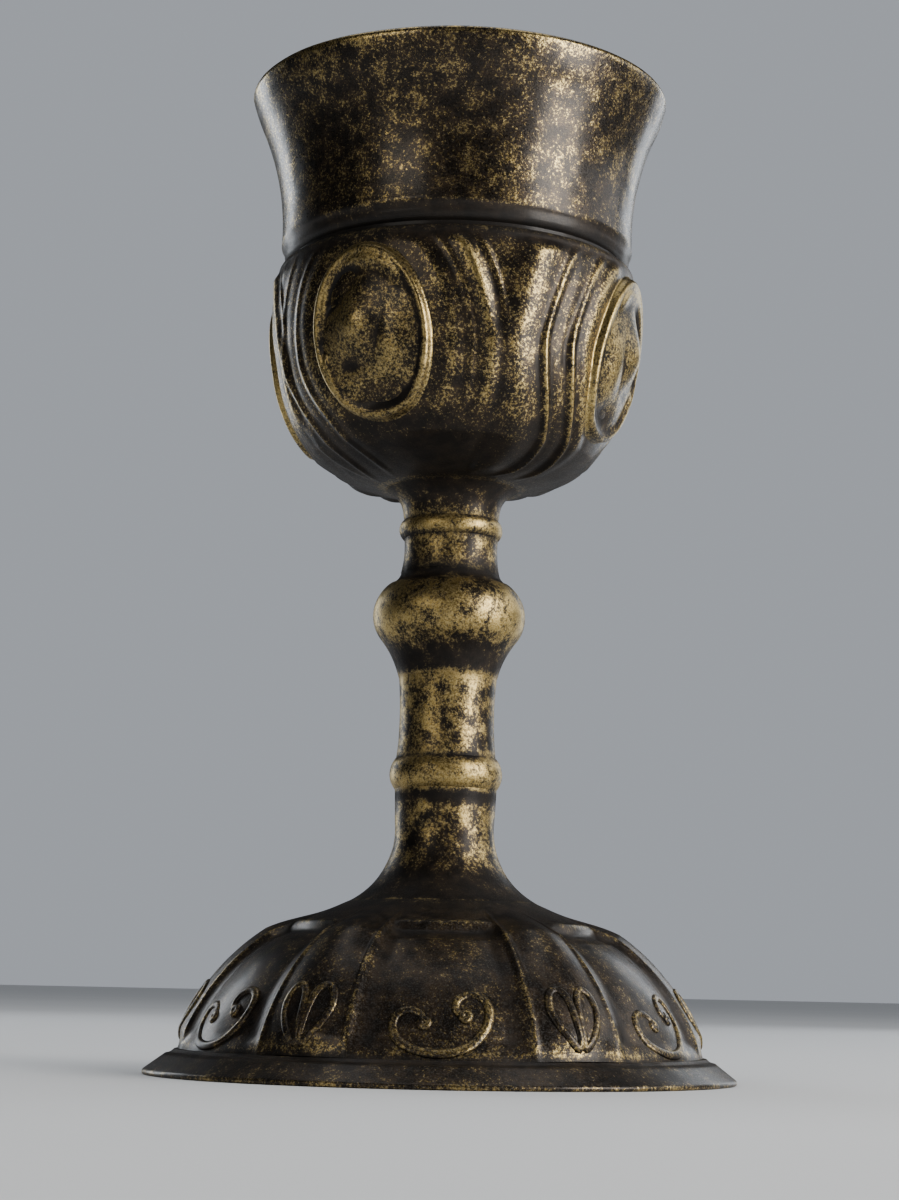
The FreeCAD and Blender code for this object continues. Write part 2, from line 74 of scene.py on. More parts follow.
# The plaques stand in two unevenly spaced pairs, and the second of each pair is the first's mirror image.
PLAQUE_TURNS = (-28.0, 70.0, 152.0, 250.0)
PLAQUE_LEANS = (5.0, -10.0, 5.0, -10.0)
PLAQUE_HANDS = (1, -1, 1, -1)
# How deep each plaque's hollows are, and the swags left of it, as shares.
PLAQUE_HOLLOWS = (1.0, 0.45, 1.0, 0.45)
SWAG_DEPTHS = (0.45, 1.0, 0.45, 1.0)
PLAQUE_HALF_WIDTH = 5.3
PLAQUE_HALF_HEIGHT = 7.2
PLAQUE_HEIGHT = 56.8
# Seams as (height, reach, share): how high each lies, how far its dirt and painted shade spread and how dark
# they are.
SEAMS = [
    (65.4, 1.35, 1.0),
    (48.0, 2.2, 0.8),
    (44.4, 0.3, 0.6),
    (42.9, 0.3, 0.6),
    (40.0, 0.75, 1.0),
    (32.6, 1.1, 0.75),
    (25.1, 0.3, 0.7),
    (22.0, 0.55, 0.8),
    (14.2, 1.8, 0.8),
    (1.95, 0.35, 0.6),
]

# ---------------------------------------------------------------- outlines

# A corner is (radius, height). A third and fourth entry make the edge that arrives there an arc of that
# radius: it bulges when its centre is nearer the axis than the arc, and is hollow when it is further out.
BOWL = [
    (16.35, 79.6),
    (16.75, 80.0, 0.4, HOLLOW),
    (17.15, 79.6, 0.4, BULGE),
    (16.2, 77.0, 15.0, BULGE),
    (14.45, 67.0, 23.3, HOLLOW),
    (14.2, 66.3, 1.6, HOLLOW),
    (13.75, 65.5, 0.9, BULGE),
    (13.7, 63.6),
    (13.35, 56.7, 26.0, BULGE),
    (10.3, 50.7, 11.9, BULGE),
    (3.4, 49.1, 9.6, BULGE),
    (0.0, 49.1),
    (0.0, 49.9),
    (3.4, 49.9),
    (9.7, 51.3, 8.8, BULGE),
    (12.55, 56.7, 11.1, BULGE),
    (12.85, 63.6, 25.2, BULGE),
    (13.65, 67.0),
    (15.4, 77.0, 24.1, HOLLOW),
    (16.35, 79.6, 14.2, BULGE),
]
CALYX_OUTSIDE = [
    (13.85, 65.1),
    (14.25, 65.05, 0.6, BULGE),
    (14.65, 64.4, 0.7, BULGE),
    (14.35, 56.5, 23.6, BULGE),
    (11.3, 49.5, 14.0, BULGE),
    (5.5, 47.0, 12.9, BULGE),
]
CALYX_INSIDE = [
    (3.0, 47.0),
    (3.0, 47.85),
    (5.2, 47.85),
    (10.66, 50.06, 12.05, BULGE),
    (13.53, 56.7, 13.15, BULGE),
    (13.8, 63.6, 22.75, BULGE),
    (13.8, 65.0),
]
COLLAR = [
    (3.0, 47.0),
    (5.4, 47.0),
    (3.9, 45.0, 2.3, HOLLOW),
    (3.8, 44.4),
    (1.7, 44.4),
    (1.7, 46.0),
    (3.0, 46.0),
    (3.0, 47.0),
]
NECK_RING = [(1.7, 44.4), (3.85, 44.4), (3.85, 42.9, 1.02, BULGE), (1.7, 42.9), (1.7, 44.4)]
NECK_SLEEVE = [(1.7, 42.9), (3.8, 42.9), (3.95, 40.1, 9.0, HOLLOW), (1.7, 40.1), (1.7, 42.9)]
KNOP = [
    (1.7, 40.1),
    (3.95, 40.1),
    (4.85, 39.1, 1.3, HOLLOW),
    (5.4, 34.6, 3.09, BULGE),
    (3.95, 31.6, 8.2, HOLLOW),
    (1.7, 31.6),
    (1.7, 40.1),
]
SHAFT = [(1.7, 31.6), (3.95, 31.6), (4.0, 25.1, 26.0, HOLLOW), (1.7, 25.1), (1.7, 31.6)]
LOWER_RING = [(1.7, 25.1), (4.0, 25.1), (4.05, 22.6, 1.92, BULGE), (1.7, 22.6), (1.7, 25.1)]
TRUMPET = [
    (1.7, 22.6),
    (4.05, 22.6),
    (3.95, 20.0),
    (7.5, 13.65, 6.6, HOLLOW),
    (7.5, 13.0),
    (1.7, 13.0),
    (1.7, 22.6),
]
DOME_OUTSIDE = [(7.5, 13.65), (13.7, 10.9), (20.4, 1.95, 17.3, BULGE)]
DOME_INSIDE = [(19.3, 1.95), (13.15, 9.93, 16.2, BULGE), (7.5, 11.9), (1.7, 11.9), (1.7, 13.0), (7.5, 13.0)]
FLANGE = [
    (18.5, 0.0),
    (23.0, 0.0),
    (23.2, 0.2, 0.2, BULGE),
    (23.05, 0.45, 0.3, BULGE),
    (21.5, 1.6),
    (20.8, 1.95, 1.0, HOLLOW),
    (18.5, 1.95),
    (18.5, 0.0),
]
WASHER = [(1.7, 11.9), (3.9, 11.9), (4.0, 11.8), (4.0, 11.4), (3.9, 11.3), (1.7, 11.3), (1.7, 11.9)]


def arc_points(start, end, radius, side, spacing):
    """Points along the shorter arc from start to end, without its start."""
    start = np.array(start)
    end = np.array(end)
    chord = end - start
    length = np.hypot(*chord)
    across = np.array([-chord[1], chord[0]]) / length
    reach = math.sqrt(max(radius ** 2 - (length / 2) ** 2, 0.0))
    middle = (start + end) / 2
    centres = sorted((middle + across * reach, middle - across * reach), key=lambda point: point[0])
    centre = centres[0] if side == BULGE else centres[1]
    first = math.atan2(*(start - centre)[::-1])
    sweep = math.atan2(*(end - centre)[::-1]) - first
    sweep = (sweep + math.pi) % (2 * math.pi) - math.pi
    count = max(3, math.ceil(abs(sweep) * radius / spacing))
    angles = first + sweep * np.arange(1, count + 1) / count
    return [centre + radius * np.array([math.cos(a), math.sin(a)]) for a in angles]


def outline_points(outline, spacing):
    """The outline as an array of points no further apart than spacing."""
    points = [np.array(outline[0][:2])]
    for before, step in zip(outline, outline[1:]):
        if len(step) > 2:
            points += arc_points(before[:2], step[:2], step[2], step[3], spacing)
            continue
        start = np.array(before[:2])
        end = np.array(step[:2])
        count = max(1, math.ceil(np.hypot(*(end - start)) / spacing))
        points += [start + (end - start) * i / count for i in range(1, count + 1)]
    return np.array(points)


# ---------------------------------------------------------------- mesh tools

def smooth_step(value, low, high):
    share = np.clip((value - low) / (high - low), 0, 1)
    return share * share * (3 - 2 * share)


def ridge(distance, centre, width):
    """A rounded ridge, 1 at its crest."""
    return np.exp(-((distance - centre) / width) ** 2)


def ridges(distance, rows):
    """Several ridges together, each as (centre, height, half width)."""
    return sum(height * ridge(distance, centre, width) for centre, height, width in rows)


def wrapped(angle):
    """An angle in degrees, from -180 to 180."""
    return (angle + 180.0) % 360.0 - 180.0


def quarter_wave(share):
    """A rounded fall from 1 to 0 as the share goes from 0 to 1."""
    return np.cos(np.clip(share, 0, 1) * math.pi / 2)


def outward_normals(points):
    """The unit normal at each point of an outline that runs down its outside, so it points outward."""
    along = np.gradient(points, axis=0)
    normals = np.stack([-along[:, 1], along[:, 0]], axis=1)
    return normals / np.linalg.norm(normals, axis=1, keepdims=True)


def weld(mesh):
    """Joins points that fall together, as they do on the axis, and turns every face outward."""
    work = bmesh.new()
    work.from_mesh(mesh)
    bmesh.ops.remove_doubles(work, verts=work.verts, dist=WELD)
    bmesh.ops.recalc_face_normals(work, faces=work.faces)
    work.to_mesh(mesh)
    work.free()


def mark_relief(mesh, reach, spacing):
    """Stores how far each point stands above the surface round it, in millimetres, as "raised"."""
    count = len(mesh.vertices)
    place = np.empty(count * 3)
    mesh.vertices.foreach_get("co", place)
    place = place.reshape(-1, 3)
    normal = np.empty(count * 3)
    mesh.vertices.foreach_get("normal", normal)
    ends = np.empty(len(mesh.edges) * 2, dtype=np.int64)
    mesh.edges.foreach_get("vertices", ends)
    near, far = ends.reshape(-1, 2).T
    degree = np.maximum(np.bincount(near, minlength=count) + np.bincount(far, minlength=count), 1)
    evened = place.copy()
    for _ in range(max(4, round((reach / spacing) ** 2))):
        total = [
            np.bincount(near, evened[far, axis], count) + np.bincount(far, evened[near, axis], count)
            for axis in range(3)
        ]
        evened = (evened + np.stack(total, axis=1) / degree[:, None]) / 2
    raised = ((place - evened) * normal.reshape(-1, 3)).sum(axis=1) / MM
    mesh.attributes.new("raised", "FLOAT", "POINT").data.foreach_set("value", raised)


def mark_seam_grime_and_shade(mesh):
    """Stores how near each point lies to a seam between pieces, as a point attribute for the dirt and painted
    shade there.
    """
    height = np.array([vertex.co.z for vertex in mesh.vertices]) / MM
    seam_grime_and_shade = np.zeros(len(height))
    for seam, reach, share in SEAMS:
        seam_grime_and_shade = np.maximum(seam_grime_and_shade, share * ridge(height, seam, reach))
    mesh.attributes.new("seam_grime_and_shade", "FLOAT", "POINT").data.foreach_set("value", seam_grime_and_shade)


def new_piece(name, vertices, faces, node, material, spacing=0.25, sharp=40.0, reach=RELIEF_REACH):
    """A mesh piece, in metres, that stands for a CAD node and rides on the cup."""
    mesh = bpy.data.meshes.new(name)
    mesh.from_pydata([tuple(v) for v in np.asarray(vertices) * MM], [], faces)
    weld(mesh)
    mesh.shade_smooth()
    mesh.set_sharp_from_angle(angle=math.radians(sharp))
    mark_relief(mesh, reach, spacing)
    mark_seam_grime_and_shade(mesh)
    mesh.materials.append(material)
    piece = bpy.data.objects.new(name, mesh)
    bpy.context.scene.collection.objects.link(piece)
    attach(piece, "root")
    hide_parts(node)
    return piece


def grid_faces(rows, columns, closed_rows, closed_columns=True, first=0):
    """Quads over a grid of points, row by row."""
    faces = []
    for row in range(rows if closed_rows else rows - 1):
        below = (row + 1) % rows
        for column in range(columns if closed_columns else columns - 1):
            beside = (column + 1) % columns
            faces.append((
                first + row * columns + column,
                first + below * columns + column,
                first + below * columns + beside,
                first + row * columns + beside,
            ))
    return faces


def turned_grid(points, count):
    """Points turned round Z, as an array (row, column, xyz)."""
    azimuth = np.radians(np.arange(count) * 360.0 / count)
    radius = points[:, :1] + np.zeros(count)
    height = points[:, 1:] + np.zeros(count)
    return np.stack([radius * np.sin(azimuth), -radius * np.cos(azimuth), height], axis=2)


def ripple(vertices, size, depth, seed):
    """Moves points a little in and out, as hand work and casting leave them."""
    shift = Vector((seed * 7.3, seed * 3.1, seed * 5.7))
    moved = []
    for x, y, z in vertices:
        along = Vector((x, y, z))
        reach = noise.noise(along / size + shift) + 0.5 * noise.noise(along / size * 2.7 - shift)
        radius = math.hypot(x, y)
        grow = 1 + depth * reach / radius if radius > 2 * depth else 1
        moved.append((x * grow, y * grow, z))
    return np.array(moved)


def turned_piece(node, outline, material, spacing=0.2, count=192, depth=0.03, seed=1):
    """A closed piece of revolution."""
    points = outline_points(outline, spacing)[:-1]
    vertices = ripple(turned_grid(points, count).reshape(-1, 3), RIPPLE_SIZE, depth, seed)
    faces = grid_faces(len(points), count, True)
    return new_piece(f"{node}_finished", vertices, faces, node, material, spacing)


class Skin:
    """A turned surface with relief, on which ornaments can be laid."""

    def __init__(self, outline, spacing, relief):
        self.points = outline_points(outline, spacing)
        steps = np.hypot(*np.diff(self.points, axis=0).T)
        self.travel = np.concatenate([[0.0], np.cumsum(steps)])
        self.normals = outward_normals(self.points)
        self.relief = relief

    def travel_at(self, height):
        """How far down the outline a height lies."""
        return float(np.interp(-height, -self.points[:, 1], self.travel))

    def place(self, azimuth, travel, lift):
        """Points on the skin, at an azimuth in degrees, a distance down the outline and a lift off it."""
        azimuth, travel, lift = np.broadcast_arrays(azimuth, travel, lift)
        radius = np.interp(travel, self.travel, self.points[:, 0])
        height = np.interp(travel, self.travel, self.points[:, 1])
        out = np.interp(travel, self.travel, self.normals[:, 0])
        up = np.interp(travel, self.travel, self.normals[:, 1])
        lifted = lift + self.relief(azimuth, travel, radius)
        radius = radius + out * lifted
        turn = np.radians(azimuth)
        return np.stack([radius * np.sin(turn), -radius * np.cos(turn), height + up * lifted], axis=-1)

    def develop(self, across, up, azimuth, travel):
        """Turns flat millimetres round a centre on the skin into azimuth and travel."""
        down = travel - up
        radius = np.interp(down, self.travel, self.points[:, 0])
        return azimuth + np.degrees(across / radius), down


# ---------------------------------------------------------------- relief of the calyx and the foot

def oval_distance(across, up):
    """How far a point lies outside a plaque's edge, in millimetres, negative inside."""
    reach = np.hypot(across, up) + 1e-6
    share = np.hypot(across / PLAQUE_HALF_WIDTH, up / PLAQUE_HALF_HEIGHT) + 1e-6
    return reach * (1 - 1 / share)


def turned_by(right, up, angle):
    """Flat coordinates turned by an angle in degrees, counter-clockwise."""
    cosine = math.cos(math.radians(angle))
    sine = math.sin(math.radians(angle))
    return right * cosine - up * sine, right * sine + up * cosine


# Swags of the calyx as (distance outside a plaque's edge, height, half width).
RIGHT_SWAGS = [(1.45, 0.20, 0.80), (3.0, 0.14, 0.24), (4.3, 0.38, 0.75), (5.8, 0.14, 0.25)]
LEFT_SWAGS = [(1.1, 0.36, 0.95), (3.7, 0.10, 0.70), (7.5, 0.48, 1.70)]
# The fine lines between them, which stand higher low down, as (distance, height, gain in height, half width).
LEFT_LINES = [(2.5, 0.20, 0.22, 0.32), (5.0, 0.20, 0.22, 0.32)]
# How far the left swags ease in over the height below a plaque's middle.
SWAG_EASE = 5.8
SWAG_DROP = 13.0
# The turn from a plaque beyond which its right swags stop, and the turn from the plaque before it that the
# left swags keep, each with the turn over which they fade.
RIGHT_END = 40.0
LEFT_END = 42.0
END_FADE = 5.0


def calyx_relief(azimuth, travel, radius):
    """Swags between the plaques: some close round a plaque's right side, some run down past its left."""
    lift = np.zeros(np.broadcast(azimuth, travel, radius).shape)
    turns_before = np.roll(PLAQUE_TURNS, 1)
    for turn, before, lean, depth in zip(PLAQUE_TURNS, turns_before, PLAQUE_LEANS, SWAG_DEPTHS):
        gap = (turn - before) % 360.0
        away = wrapped(azimuth - turn)
        across = np.radians(away) * radius
        up = CALYX_PLAQUE_TRAVEL - travel
        distance = oval_distance(*turned_by(across, up, -lean))
        outside = smooth_step(distance, -0.4, 0.2)
        right = smooth_step(across, -0.5, 2.5) * (1 - smooth_step(away, RIGHT_END, RIGHT_END + END_FADE))
        right = right * outside * (0.25 + 0.75 * smooth_step(up, -8.0, -4.5))
        lift = lift + right * ridges(distance, RIGHT_SWAGS)
        # Below the plaque's middle the left swags leave its edge and run down almost straight.
        lower = smooth_step(-up, -2.0, 2.0)
        straight = -across - PLAQUE_HALF_WIDTH + SWAG_EASE * smooth_step(-up, 0.0, SWAG_DROP)
        distance = distance * (1 - lower) + straight * lower
        outside = smooth_step(distance, -0.4, 0.2)
        stop = gap - LEFT_END
        left = smooth_step(-across, 0.5, 3.0) * (1 - smooth_step(-away, stop, stop + END_FADE)) * outside
        lines = [(place, height + gain * lower, width) for place, height, gain, width in LEFT_LINES]
        lift = lift + depth * left * ridges(distance, LEFT_SWAGS + lines)
    rim = smooth_step(travel, 1.1, 2.3)
    floor = smooth_step(radius, 5.8, 8.5)
    return lift * rim * floor


def foot_relief(azimuth, travel, radius):
    """Six shallow panels, each with a fine line at its side, between six rounded ribs."""
    sink, crown_rise, rib_rise, line_rise, lip_rise = 0.46, 0.20, 0.60, 0.16, 0.22
    crown_turn, rib_turn, line_turn = 17.0, 13.0, 19.6
    from_panel = np.abs((azimuth + HALF_LOBE) % LOBE_TURN - HALF_LOBE)
    reach = smooth_step(radius, 8.5, 13.5)
    ledge = smooth_step(radius, 11.4, 12.5)
    panel = 1 - smooth_step(from_panel, 14.0, 20.5)
    crown = crown_rise * quarter_wave(from_panel / crown_turn) * smooth_step(radius, 12.0, 16.0)
    sunk = panel * ledge * (crown - sink)
    rib = rib_rise * quarter_wave((HALF_LOBE - from_panel) / rib_turn) ** 1.5 * reach
    line = line_rise * ridge(from_panel, line_turn, 0.75) * reach
    lip = lip_rise * ridge(radius, 11.7, 0.45) * panel
    base = 1 - 0.7 * smooth_step(radius, 19.8, 20.35)
    return (sunk + rib + line + lip) * base


calyx_skin = Skin(CALYX_OUTSIDE, 0.15, calyx_relief)
CALYX_PLAQUE_TRAVEL = calyx_skin.travel_at(PLAQUE_HEIGHT)
foot_skin = Skin(DOME_OUTSIDE, 0.16, foot_relief)


# ---------------------------------------------------------------- materials

def add(tree, kind, inputs=None, **settings):
    """A shader node with its settings, and its inputs linked or set."""
    node = tree.nodes.new(kind)
    for name, value in settings.items():
        setattr(node, name, value)
    for name, value in (inputs or {}).items():
        if isinstance(value, bpy.types.NodeSocket):
            tree.links.new(value, node.inputs[name])
        else:
            node.inputs[name].default_value = value
    return node


def maths(tree, operation, first, second=0.0, third=0.0):
    node = add(tree, "ShaderNodeMath", {0: first, 1: second, 2: third}, operation=operation)
    return node.outputs[0]


def spread(tree, value, low, high, out_low=0.0, out_high=1.0):
    """A smooth change from out_low to out_high as value goes from low to high."""
    inputs = {"Value": value, "From Min": low, "From Max": high, "To Min": out_low, "To Max": out_high}
    return add(tree, "ShaderNodeMapRange", inputs, interpolation_type="SMOOTHSTEP").outputs["Result"]


def blend_colours(tree, share, first, second):
    node = add(tree, "ShaderNodeMix", {"Factor": share}, data_type="RGBA")
    for index, value in ((6, first), (7, second)):
        if isinstance(value, bpy.types.NodeSocket):
            tree.links.new(value, node.inputs[index])
        else:
            node.inputs[index].default_value = (*value, 1.0)
    return node.outputs[2]


def vary(tree, total, value, amount):
    """Adds to a total how far a noise is from its middle, times an amount."""
    return maths(tree, "ADD", total, maths(tree, "MULTIPLY", maths(tree, "SUBTRACT", value, 0.5), amount))


def noise_at(tree, place, scale, detail=3.0, roughness=0.6):
    inputs = {"Vector": place, "Scale": scale, "Detail": detail, "Roughness": roughness}
    return add(tree, "ShaderNodeTexNoise", inputs).outputs["Fac"]


DARK_BROWN = (0.020, 0.015, 0.011)
DARK_UMBER = (0.055, 0.038, 0.024)
OLD_GOLD = (0.36, 0.262, 0.100)
PALE_GOLD = (0.62, 0.495, 0.25)
# The dark of hollows and seams: patina and dirt, and painted shade.
GRIME_AND_SHADE = (0.010, 0.008, 0.007)
DUST = (0.17, 0.165, 0.16)


def bronze(name, gilding, speckle=1.0, blotch=0.6, dust=0.1, rough=0.36, wear=0.6, coat=0.15):
    """Dark patinated bronze, rubbed to gold where it stands proud and dusted with gold all over; in hollows
    and at seams patina, dirt and painted shade darken it.

    Gilding is how much gold there is overall, speckle and blotch how strongly it varies finely and broadly,
    and wear how much more of it there is on what stands proud.
    """
    material = bpy.data.materials.new(name)
    material.use_nodes = True
    tree = material.node_tree
    tree.nodes.clear()
    place = add(tree, "ShaderNodeTexCoord").outputs["Object"]
    scaled = add(tree, "ShaderNodeVectorMath", {0: place, 3: 1 / MM}, operation="SCALE").outputs[0]
    raised = add(tree, "ShaderNodeAttribute", attribute_name="raised").outputs["Fac"]
    seam_grime_and_shade = add(tree, "ShaderNodeAttribute", attribute_name="seam_grime_and_shade").outputs["Fac"]
    # Noises from the finest to the broadest, their scales per millimetre.
    grain = noise_at(tree, scaled, 8.0, 1.0, 0.6)
    fine = noise_at(tree, scaled, 4.4, 2.0, 0.85)
    blotches = noise_at(tree, scaled, 0.75, 3.0, 0.65)
    patches = noise_at(tree, scaled, 0.16, 2.0, 0.5)
    # How much gold shows: dusted everywhere, rubbed bright on what stands proud and lost in the hollows and
    # at seams, which patina, dirt and painted shade darken.
    hollow = maths(tree, "MAXIMUM", spread(tree, raised, -0.16, -0.01, 1.0, 0.0), seam_grime_and_shade)
    total = maths(tree, "MULTIPLY_ADD", fine, 4.2 * speckle, gilding - 2.1 * speckle)
    total = maths(tree, "ADD", total, maths(tree, "MULTIPLY", spread(tree, raised, 0.0, 0.2), wear))
    total = vary(tree, total, blotches, 2.5 * blotch)
    total = vary(tree, total, patches, 1.2)
    total = maths(tree, "SUBTRACT", total, maths(tree, "MULTIPLY", hollow, 0.9))
    gold = spread(tree, total, 0.1, 1.1)
    brown = blend_colours(tree, spread(tree, blotches, 0.35, 0.65), DARK_BROWN, DARK_UMBER)
    bright = blend_colours(tree, spread(tree, grain, 0.3, 0.7), OLD_GOLD, PALE_GOLD)
    metal = blend_colours(tree, gold, brown, bright)
    metal = blend_colours(tree, maths(tree, "MULTIPLY", spread(tree, grain, 0.4, 0.8), dust), metal, DUST)
    # Hollows and seams take a dark colour that is part patina and dirt, part painted shade.
    shaded = blend_colours(tree, maths(tree, "MULTIPLY", hollow, 0.8), metal, GRIME_AND_SHADE)
    roughness = spread(tree, grain, 0.2, 0.8, rough - 0.1, rough + 0.14)
    roughness = maths(tree, "MULTIPLY_ADD", hollow, 0.35, roughness)
    bumps = maths(tree, "ADD", maths(tree, "MULTIPLY", fine, 0.7), maths(tree, "MULTIPLY", grain, 0.5))
    bump = add(tree, "ShaderNodeBump", {"Strength": 0.5, "Distance": 0.04 * MM, "Height": bumps})
    metallic = spread(tree, gold, 0.0, 1.0, 0.6, 1.0)
    shader = add(tree, "ShaderNodeBsdfPrincipled", {
        "Base Color": shaded,
        "Metallic": maths(tree, "MULTIPLY", metallic, spread(tree, hollow, 0.0, 1.0, 1.0, 0.5)),
        "Roughness": roughness,
        "Normal": bump.outputs["Normal"],
        "Coat Weight": coat,
        "Coat Roughness": 0.22,
    })
    output = add(tree, "ShaderNodeOutputMaterial")
    tree.links.new(shader.outputs[0], output.inputs["Surface"])
    return material


def plain_brass(name):
    """Dull turned brass, for the fastening inside."""
    material = bpy.data.materials.new(name)
    material.use_nodes = True
    tree = material.node_tree
    shader = tree.nodes["Principled BSDF"]
    place = add(tree, "ShaderNodeTexCoord").outputs["Object"]
    scaled = add(tree, "ShaderNodeVectorMath", {0: place, 3: 1 / MM}, operation="SCALE").outputs[0]
    stain = noise_at(tree, scaled, 0.9, 4.0, 0.65)
    colour = blend_colours(tree, spread(tree, stain, 0.35, 0.7), (0.52, 0.37, 0.15), (0.24, 0.16, 0.07))
    tree.links.new(colour, shader.inputs["Base Color"])
    tree.links.new(spread(tree, stain, 0.3, 0.7, 0.28, 0.5), shader.inputs["Roughness"])
    shader.inputs["Metallic"].default_value = 1.0
    return material


bowl_finish = bronze("bowl_bronze", gilding=-0.02, blotch=1.0, rough=0.29, coat=0.25)
calyx_finish = bronze("calyx_bronze", gilding=0.08, wear=0.85)
plaque_finish = bronze("plaque_bronze", gilding=0.42, speckle=0.75, wear=0.4)
stem_finish = bronze("stem_bronze", gilding=0.36, speckle=0.65, blotch=1.1, rough=0.42, coat=0.05)
foot_finish = bronze("foot_bronze", gilding=-0.22, speckle=0.85, blotch=0.8, dust=0.3, rough=0.38)
ornament_finish = bronze("ornament_gold", gilding=-0.05, speckle=0.7, dust=0.3, rough=0.38, wear=0.35)
brass_finish = plain_brass("fastening_brass")

# ---------------------------------------------------------------- turned pieces

turned_piece("cup_bowl", BOWL, bowl_finish, spacing=0.3, count=240, depth=0.05, seed=2)
turned_piece("upper_collar", COLLAR, stem_finish, seed=3)
turned_piece("neck_ring", NECK_RING, stem_finish, seed=4)
turned_piece("neck_sleeve", NECK_SLEEVE, stem_finish, depth=0.08, seed=5)
turned_piece("knop", KNOP, stem_finish, depth=0.06, seed=6)
turned_piece("stem_shaft", SHAFT, stem_finish, depth=0.07, seed=7)
turned_piece("lower_ring", LOWER_RING, stem_finish, depth=0.06, seed=8)
turned_piece("foot_trumpet", TRUMPET, stem_finish, depth=0.06, seed=9)
turned_piece("foot_flange", FLANGE, foot_finish, spacing=0.3, count=288, depth=0.08, seed=10)
turned_piece("clamp_washer", WASHER, brass_finish, spacing=0.4, count=96, depth=0.0)


def relief_piece(node, skin, inside, count, material, seed):
    """A turned shell whose outside carries relief and whose inside is plain."""
    azimuth = np.arange(count) * 360.0 / count
    outer = skin.place(azimuth[None, :], skin.travel[:, None], 0.0)
    inner = turned_grid(outline_points(inside, 0.8), count)
    rows = np.concatenate([outer, inner])
    vertices = ripple(rows.reshape(-1, 3), RIPPLE_SIZE, 0.05, seed)
    faces = grid_faces(len(rows), count, True)
    return new_piece(f"{node}_finished", vertices, faces, node, material, 0.16, sharp=60.0)


relief_piece("calyx_shell", calyx_skin, CALYX_INSIDE, 600, calyx_finish, 11)
relief_piece("foot_dome", foot_skin, DOME_INSIDE, 600, foot_finish, 12)

# ---------------------------------------------------------------- plaques


def within(turn, low, high, soft):
    """1 between two turns in degrees, easing to 0 over soft degrees beyond each."""
    return smooth_step(turn, low - soft, low) * (1 - smooth_step(turn, high, high + soft))


# Mounds and hollows of a plaque as (right, up, half width, half height), in shares of its half size.
BOSS = (-0.16, 0.10, 0.34, 0.30)
SHOULDER = (0.36, -0.16, 0.26, 0.34)
LEFT_HOLLOW = (-0.32, -0.32, 0.24, 0.12)
LOW_HOLLOW = (0.08, -0.66, 0.32, 0.13)
HIGH_HOLLOW = (0.0, 0.0, 0.31, 0.15)
# The high hollow lies aslant, so it is drawn round its own middle and turned.
HIGH_HOLLOW_MIDDLE = (-0.38, 0.54)
HIGH_HOLLOW_TURN = 35.0


def mound(right, up, shape):
    """A rounded mound, 1 at its middle."""
    middle_right, middle_up, half_width, half_height = shape
    return np.exp(-((right - middle_right) / half_width) ** 2 - ((up - middle_up) / half_height) ** 2)


def plaque_lift(right, up, depth):
    """The plaque's surface above the calyx: a rim with a hooked end, a band, a boss and three hollows."""
    share = np.hypot(right, up)
    turn = np.degrees(np.arctan2(up, right))
    around = (turn + 180.0) % 360.0
    rim = 0.36 * ridge(share, 0.89, 0.070 + 0.03 * ridge(around, 300, 70))
    hook = 0.34 * ridge(share, 0.80 + 0.13 * smooth_step(around, 15, 70), 0.05) * within(around, 18, 75, 14)
    band = 0.34 * ridge(share, 0.80, 0.10) * within(around, 235, 325, 30)
    boss = 0.74 * mound(right, up, BOSS)
    shoulder = 0.36 * mound(right, up, SHOULDER)
    raised = np.maximum.reduce([rim, hook, band, boss, shoulder])
    middle_right, middle_up = HIGH_HOLLOW_MIDDLE
    along, beside = turned_by(right - middle_right, up - middle_up, -HIGH_HOLLOW_TURN)
    high_hollow = 0.74 * mound(along, beside, HIGH_HOLLOW)
    left_hollow = 0.26 * mound(right, up, LEFT_HOLLOW)
    low_hollow = 0.66 * mound(right, up, LOW_HOLLOW)
    edge = 1 - smooth_step(share, 0.92, 1.0)
    return (0.24 + raised - depth * (high_hollow + left_hollow + low_hollow)) * edge


def plaque(number, turn, lean, hand, depth):
    """One oval plaque laid on the calyx, closed behind."""
    columns = 200
    sunk = -0.1
    shares = np.concatenate([np.linspace(0.02, 0.93, 40), np.linspace(0.945, 1.0, 6)])
    turns = np.radians(np.arange(columns) * 360.0 / columns)
    right = shares[:, None] * np.cos(turns)
    up = shares[:, None] * np.sin(turns)
    across, along = turned_by(right * PLAQUE_HALF_WIDTH, up * PLAQUE_HALF_HEIGHT, lean)
    azimuth, travel = calyx_skin.develop(across, along, turn, CALYX_PLAQUE_TRAVEL)
    front = calyx_skin.place(azimuth, travel, plaque_lift(right * hand, up, depth))
    back = calyx_skin.place(azimuth[-1:], travel[-1:], sunk)
    middle = calyx_skin.place(turn, CALYX_PLAQUE_TRAVEL, plaque_lift(np.zeros(1), np.zeros(1), depth))
    behind = calyx_skin.place(turn, CALYX_PLAQUE_TRAVEL, np.full(1, sunk))
    rows = np.concatenate([front, back])
    vertices = np.concatenate([rows.reshape(-1, 3), middle, behind])
    faces = grid_faces(len(rows), columns, False)
    hub = len(rows) * columns
    last = (len(rows) - 1) * columns
    for column in range(columns):
        beside = (column + 1) % columns
        faces.append((column, beside, hub))
        faces.append((last + beside, last + column, hub + 1))
    name = f"volute_plaque_{number}"
    new_piece(
        f"{name}_finished", vertices, faces, name, plaque_finish,
        spacing=0.15, sharp=70.0, reach=PLAQUE_RELIEF_REACH,
    )


placings = zip(PLAQUE_TURNS, PLAQUE_LEANS, PLAQUE_HANDS, PLAQUE_HOLLOWS)
for number, placing in enumerate(placings, start=1):
    plaque(number, *placing)

# ---------------------------------------------------------------- ornaments of the foot


